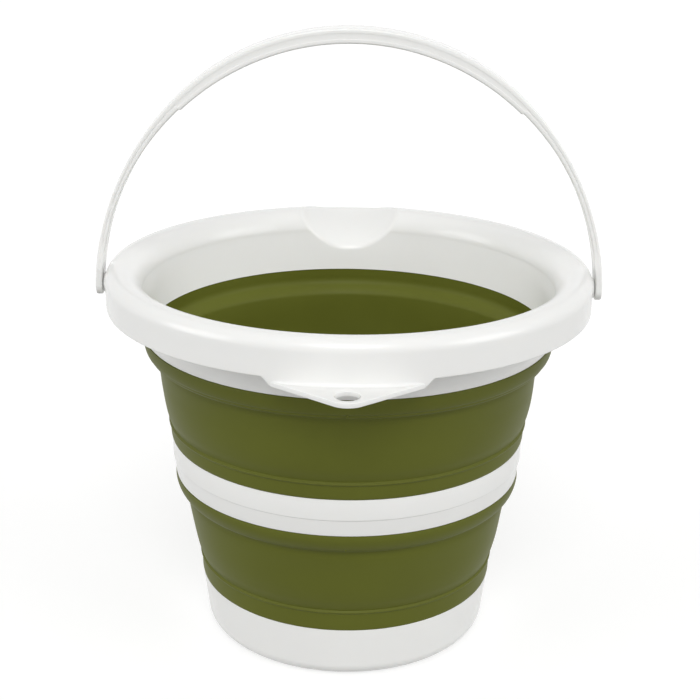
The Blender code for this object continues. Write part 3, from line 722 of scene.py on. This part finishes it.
def handle_mesh():
    """The strap from paddle to paddle, with its two pegs."""
    paddle_r = SIDE_WIDTH / 2
    runs = [-paddle_r * math.cos(math.pi / 2 * k / 16) for k in range(16)]
    runs += [side_l * k / 80 for k in range(80)]
    runs += [side_l + GRIP_STEP_RUN * k / 6 for k in range(6)]
    crown_l = half_l - side_l - GRIP_STEP_RUN
    runs += [side_l + GRIP_STEP_RUN + crown_l * k / 60 for k in range(61)]
    right = [strap_section(run) for run in runs]
    left = [[(-x, y, z) for x, y, z in ring] for ring in right[-2::-1]]
    strap = skin_of(right + left, wrap=False, name="strap")
    neck = LIP_R - LIP_DRAFT - RIM_WALL - PEG_PLAY
    tip = neck - PEG_HEAD - PEG_TAPER
    peg = [(0, STRAP_X), (PEG_R, STRAP_X), (PEG_R, neck), (PEG_HEAD_R, neck),
           (PEG_HEAD_R, neck - PEG_HEAD), (PEG_R, tip), (0, tip)]
    return together("handle", [strap, along_x(peg, 1, closed=False), along_x(peg, -1, closed=False)])


handle = new_piece("handle_moulding", handle_mesh(), white_pp)
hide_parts("handle")
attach(handle, "handle")

# Studio: a wide pale floor that keeps the bucket's soft shadow and shows white to the camera
FLOOR_REACH = 14.0
FLOOR_DROP = 0.0003
FLOOR_WHITE = 0.66
TENT_LIGHT = 0.46
TENT_WHITE = 1.0


def eye_rays(tree):
    """1 for what the camera sees, straight or in a gloss, and 0 for the light that falls on things."""
    ray = add(tree, "ShaderNodeLightPath").outputs
    return add(tree, "ShaderNodeMath", links={0: ray["Is Camera Ray"], 1: ray["Is Glossy Ray"]},
               operation="MAXIMUM").outputs[0]


floor_material = bpy.data.materials.new("pale studio floor")
floor_material.use_nodes = True
tree = floor_material.node_tree
paper = tree.nodes["Principled BSDF"]
paper.inputs["Base Color"].default_value = linear("#ADADAC")
paper.inputs["Roughness"].default_value = 0.9
paper.inputs["Specular IOR Level"].default_value = 0.1
white = add(tree, "ShaderNodeMath", {1: FLOOR_WHITE}, {0: eye_rays(tree)}, operation="MULTIPLY")
glow = add(tree, "ShaderNodeEmission", {"Color": linear("#FFFFFF")}, {"Strength": white.outputs[0]})
both = add(tree, "ShaderNodeAddShader", links={0: paper.outputs[0], 1: glow.outputs[0]})
tree.links.new(both.outputs[0], tree.nodes["Material Output"].inputs["Surface"])
floor_mesh = bpy.data.meshes.new("floor")
floor_mesh.from_pydata([(x * FLOOR_REACH, y * FLOOR_REACH, 0)
                        for x, y in ((-1, -1), (1, -1), (1, 1), (-1, 1))], [], [(0, 1, 2, 3)])
floor_mesh.materials.append(floor_material)
studio_floor = placed("studio_floor", floor_mesh)
studio_floor.location.z = -FLOOR_DROP

# Light tent: a plain white surround, dimmer to the bucket than it looks
world = bpy.data.worlds.new("light tent")
bpy.context.scene.world = world
world.use_nodes = True
sky = world.node_tree
tent = sky.nodes["Background"]
tent.inputs["Color"].default_value = linear("#FFFFFF")
strength = add(sky, "ShaderNodeMix", {"A": TENT_LIGHT, "B": TENT_WHITE}, {"Factor": eye_rays(sky)})
sky.links.new(strength.outputs["Result"], tent.inputs["Strength"])


def lamp(name, toward, strength, spread_deg):
    """A far soft lamp that shines towards a direction."""
    data = bpy.data.lights.new(name, "SUN")
    data.energy = strength
    data.angle = math.radians(spread_deg)
    item = placed(name, data)
    item.rotation_mode = "QUATERNION"
    item.rotation_quaternion = Vector(toward).to_track_quat("-Z", "Y")


lamp("overhead_softbox", (0.0, 0.70, -0.71), 1.06, 28)
lamp("front_softbox", (0.0, 0.94, -0.34), 0.14, 50)
lamp("back_softbox", (0.0, -0.92, -0.38), 0.15, 60)
lamp("left_softbox", (0.94, 0.32, -0.26), 0.90, 36)
lamp("right_softbox", (-0.90, 0.38, -0.34), 0.92, 36)

# One small lamp in a snoot under the handle, which lights only the inside of the bucket and is
# carried by the rim, so that it stays over the opening at every pose
SNOOT_Z = 0.385
snoot_data = bpy.data.lights.new("inside_snoot", "SPOT")
snoot_data.energy = 0.45
snoot_data.spot_size = math.radians(92)
snoot_data.spot_blend = 0.3
snoot_data.shadow_soft_size = 0.03
snoot = placed("inside_snoot", snoot_data)
snoot.location = (0, 0, SNOOT_Z)
snoot.parent = rim_collar
snoot.visible_camera = False
snoot.visible_glossy = False

# Camera, solved from the outlines of the rings
ELEVATION = math.radians(19.56)
ROLL = math.radians(0.727)
DISTANCE = 0.9555
LENS_MM = 73.574
SHIFT_X = 0.00273
AIM = Vector((0, 0, 0.19155))
back = Vector((0, -math.cos(ELEVATION), math.sin(ELEVATION)))
level = Vector((1, 0, 0))
up = Vector((0, math.sin(ELEVATION), math.cos(ELEVATION)))
right = level * math.cos(ROLL) + up * math.sin(ROLL)
above = up * math.cos(ROLL) - level * math.sin(ROLL)
camera_data = bpy.data.cameras.new("camera")
camera_data.sensor_width = 36.0
camera_data.lens = LENS_MM
camera_data.shift_x = SHIFT_X
camera_data.clip_start = 0.01
camera_data.clip_end = 100.0
camera = placed("camera", camera_data)
placing = Matrix((right, above, back)).transposed().to_4x4()
placing.translation = AIM + back * DISTANCE
camera.matrix_world = placing
bpy.context.scene.camera = camera
bpy.context.scene.view_settings.view_transform = "Standard"
